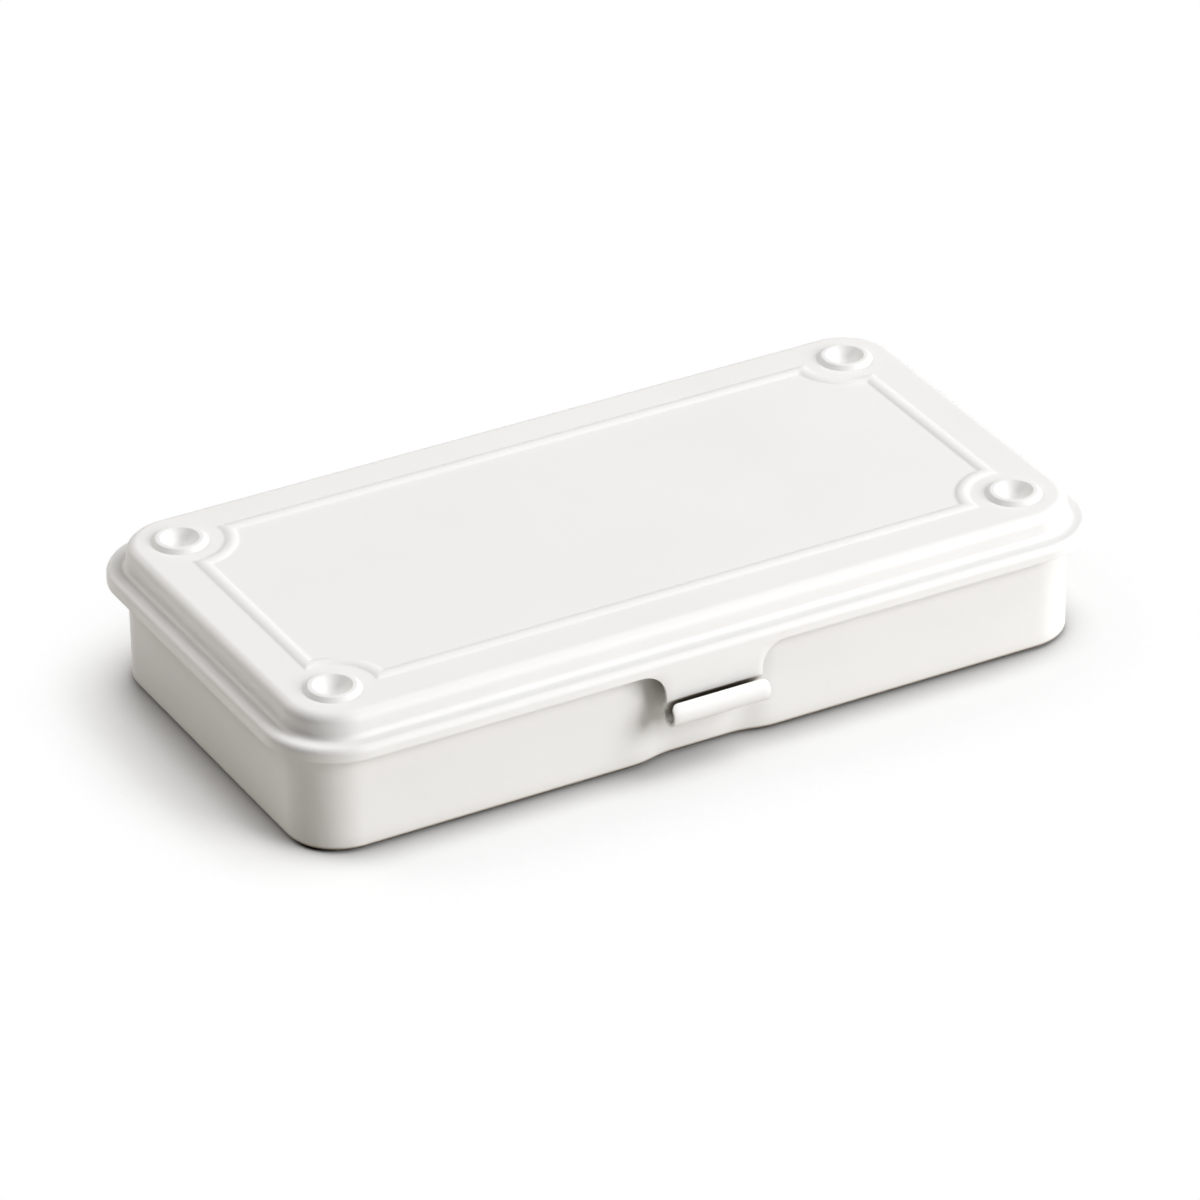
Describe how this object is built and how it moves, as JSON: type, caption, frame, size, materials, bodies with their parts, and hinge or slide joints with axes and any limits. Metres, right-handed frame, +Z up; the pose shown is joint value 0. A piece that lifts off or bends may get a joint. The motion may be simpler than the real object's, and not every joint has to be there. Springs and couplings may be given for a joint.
{
  "type": "steel storage box",
  "caption": "Low rectangular storage box of pressed, off-white painted steel, with a hinged embossed lid, stacking bosses and a curled latch tab at the front.",
  "frame": {"origin": "on the table under the middle of the box, as measured across the lid's skirt", "axes": "+X to the right along the long side, +Y to the hinged back with the latch tab at -Y, +Z up"},
  "size_m": [0.203, 0.1114, 0.0349],
  "materials": {
    "tray_paint": "satin",
    "lid_paint": "satin",
    "hinge_paint": "satin",
    "pin_steel": "plain wire"
  },
  "bodies": {
    "tray_body": {"tray": "tray_paint", "left_hinge_tray_leaf": "hinge_paint", "right_hinge_tray_leaf": "hinge_paint", "left_hinge_pin": "pin_steel", "right_hinge_pin": "pin_steel"},
    "lid_body": {"lid": "lid_paint", "left_hinge_lid_leaf": "hinge_paint", "right_hinge_lid_leaf": "hinge_paint"}
  },
  "joints": [
    {"name": "lid_hinge", "type": "hinge", "parent": "tray_body", "child": "lid_body", "pos_m": [0, 0.05125, 0.02565], "axis": [-1, 0, 0], "range_deg": [0, 100]}
  ]
}
